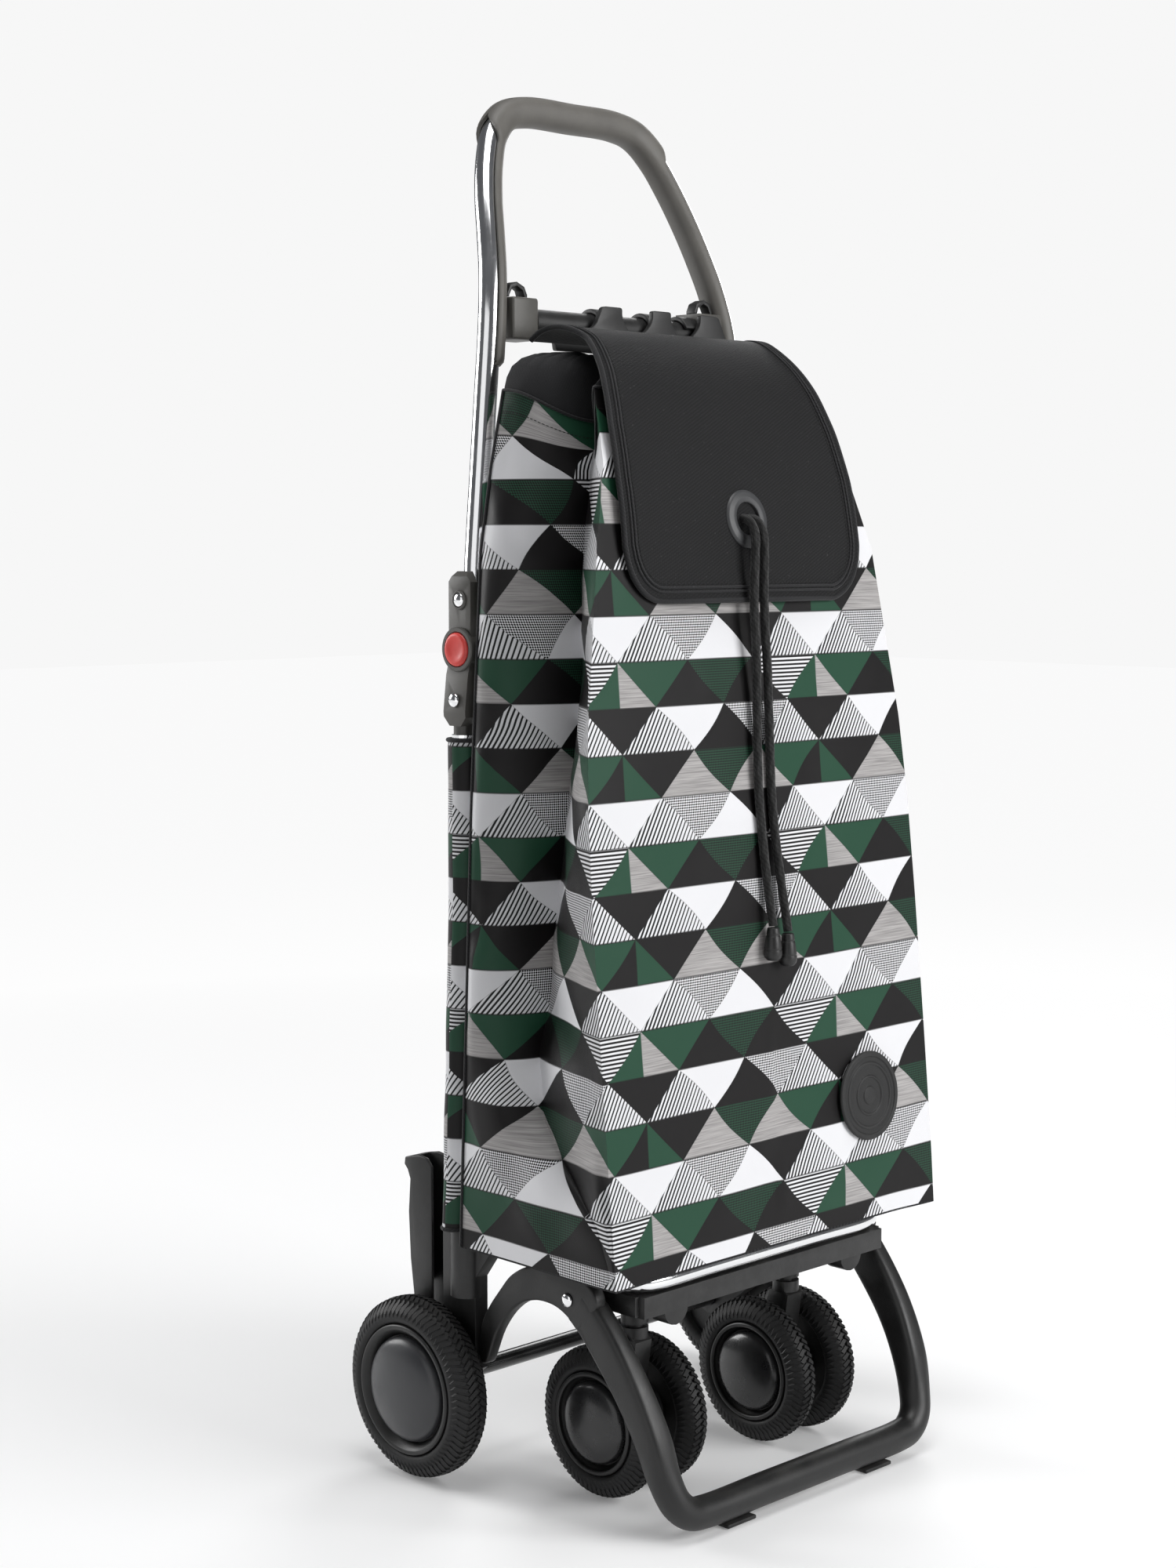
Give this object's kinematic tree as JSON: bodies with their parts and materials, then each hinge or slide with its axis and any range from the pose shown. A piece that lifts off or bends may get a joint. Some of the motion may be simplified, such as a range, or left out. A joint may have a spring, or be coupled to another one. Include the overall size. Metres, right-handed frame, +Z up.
{
  "type": "shopping trolley",
  "caption": "Upright shopping trolley: folding chrome frame, large rear wheels, twin-wheel swivel casters on a fold-up base with floor stand, tall printed fabric bag with drawstring lid.",
  "frame": {"origin": "on the floor, under the centre of the bounding box", "axes": "+Z up; the bag's front panel faces -Y; the handle leans towards +Y, where the rear wheels are; +X is on the right when the bag is seen from the front"},
  "size_m": [0.414, 0.3285, 1.0992],
  "materials": {
    "chrome": "bright chrome plating",
    "grey_plastic": "warm dark grey moulded plastic, fine grain",
    "black_plastic": "black moulded plastic, fine grain",
    "black_paint": "black painted steel, semi-gloss",
    "tyre_rubber": "black rubber tyre with fine block tread",
    "hub_plastic": "black plastic, semi-gloss, scuffed",
    "red_plastic": "red plastic, satin",
    "printed_fabric": "woven polyester printed with triangles in white, black, green and grey, satin",
    "black_fabric": "black polyester twill",
    "cord": "black braided cord",
    "badge_rubber": "black moulded rubber"
  },
  "bodies": {
    "frame": {"lower_tube_left": "chrome", "lower_tube_right": "chrome", "hinge_housing_left": "grey_plastic", "hinge_housing_right": "grey_plastic", "hinge_pin_left": "chrome", "hinge_pin_right": "chrome", "housing_rivet_left": "chrome", "housing_rivet_right": "chrome", "rear_leg_left": "black_plastic", "rear_leg_right": "black_plastic", "rear_skid_left": "black_plastic", "rear_skid_right": "black_plastic", "base_pivot_left": "chrome", "base_pivot_right": "chrome", "rear_axle": "black_paint", "bag_body": "printed_fabric", "bag_base_board": "black_plastic", "bag_hanger": "black_plastic", "bag_badge": "badge_rubber", "cord_left": "cord", "cord_right": "cord", "cord_end_left": "black_plastic", "cord_end_right": "black_plastic"},
    "handle": {"handle_tube": "chrome", "handle_grip": "grey_plastic", "cross_bar": "black_plastic", "cross_bar_clamp_left": "grey_plastic", "cross_bar_clamp_right": "grey_plastic", "bag_strap_clip_left": "black_plastic", "bag_strap_clip_right": "black_plastic"},
    "base": {"base_rail": "chrome", "front_cross_member": "black_plastic", "stand_frame": "black_plastic", "stand_rivet_left": "chrome", "stand_rivet_right": "chrome", "stand_foot_left": "tyre_rubber", "stand_foot_right": "tyre_rubber"},
    "lid": {"bag_flap": "black_fabric", "lid_eyelet": "black_plastic"},
    "release_button_left": {"release_button_left": "red_plastic"},
    "rear_wheel_left": {"rear_tyre_left": "tyre_rubber", "rear_hub_left": "hub_plastic"},
    "caster_left": {"caster_stem_left": "black_plastic", "caster_axle_left": "black_paint"},
    "caster_wheel_left_left": {"caster_tyre_left_left": "tyre_rubber", "caster_hub_left_left": "hub_plastic"},
    "caster_wheel_left_right": {"caster_tyre_left_right": "tyre_rubber", "caster_hub_left_right": "hub_plastic"},
    "release_button_right": {"release_button_right": "red_plastic"},
    "rear_wheel_right": {"rear_tyre_right": "tyre_rubber", "rear_hub_right": "hub_plastic"},
    "caster_right": {"caster_stem_right": "black_plastic", "caster_axle_right": "black_paint"},
    "caster_wheel_right_left": {"caster_tyre_right_left": "tyre_rubber", "caster_hub_right_left": "hub_plastic"},
    "caster_wheel_right_right": {"caster_tyre_right_right": "tyre_rubber", "caster_hub_right_right": "hub_plastic"}
  },
  "joints": [
    {"name": "handle_fold", "type": "hinge", "parent": "frame", "child": "handle", "pos_m": [0, 0.0555, 0.698], "axis": [-1, 0, 0], "range_deg": [0, 150]},
    {"name": "base_fold", "type": "hinge", "parent": "frame", "child": "base", "pos_m": [0, 0.037, 0.1965], "axis": [-1, 0, 0], "range_deg": [0, 78], "deforming": ["bag_body", "bag_base_board", "bag_badge"]},
    {"name": "lid_open", "type": "hinge", "parent": "frame", "child": "lid", "pos_m": [0, 0.032, 0.897], "axis": [-1, 0, 0], "range_deg": [0, 75], "deforming": ["cord_left", "cord_right"]},
    {"name": "button_press_left", "type": "slide", "parent": "frame", "child": "release_button_left", "axis": [1, 0, 0], "range_m": [0, 0.004], "stiffness_N_per_m": 600},
    {"name": "rear_wheel_spin_left", "type": "hinge", "parent": "frame", "child": "rear_wheel_left", "pos_m": [-0.187, 0.092, 0.0725], "axis": [1, 0, 0], "continuous": true},
    {"name": "caster_swivel_left", "type": "hinge", "parent": "base", "child": "caster_left", "pos_m": [-0.09, -0.054, 0.15], "axis": [0, 0, 1], "continuous": true},
    {"name": "caster_spin_left_left", "type": "hinge", "parent": "caster_left", "child": "caster_wheel_left_left", "pos_m": [-0.115, -0.044, 0.06], "axis": [1, 0, 0], "continuous": true},
    {"name": "caster_spin_left_right", "type": "hinge", "parent": "caster_left", "child": "caster_wheel_left_right", "pos_m": [-0.065, -0.044, 0.06], "axis": [1, 0, 0], "continuous": true},
    {"name": "button_press_right", "type": "slide", "parent": "frame", "child": "release_button_right", "axis": [-1, 0, 0], "range_m": [0, 0.004], "stiffness_N_per_m": 600},
    {"name": "rear_wheel_spin_right", "type": "hinge", "parent": "frame", "child": "rear_wheel_right", "pos_m": [0.187, 0.092, 0.0725], "axis": [1, 0, 0], "continuous": true},
    {"name": "caster_swivel_right", "type": "hinge", "parent": "base", "child": "caster_right", "pos_m": [0.09, -0.054, 0.15], "axis": [0, 0, 1], "continuous": true},
    {"name": "caster_spin_right_left", "type": "hinge", "parent": "caster_right", "child": "caster_wheel_right_left", "pos_m": [0.065, -0.044, 0.06], "axis": [1, 0, 0], "continuous": true},
    {"name": "caster_spin_right_right", "type": "hinge", "parent": "caster_right", "child": "caster_wheel_right_right", "pos_m": [0.115, -0.044, 0.06], "axis": [1, 0, 0], "continuous": true}
  ]
}
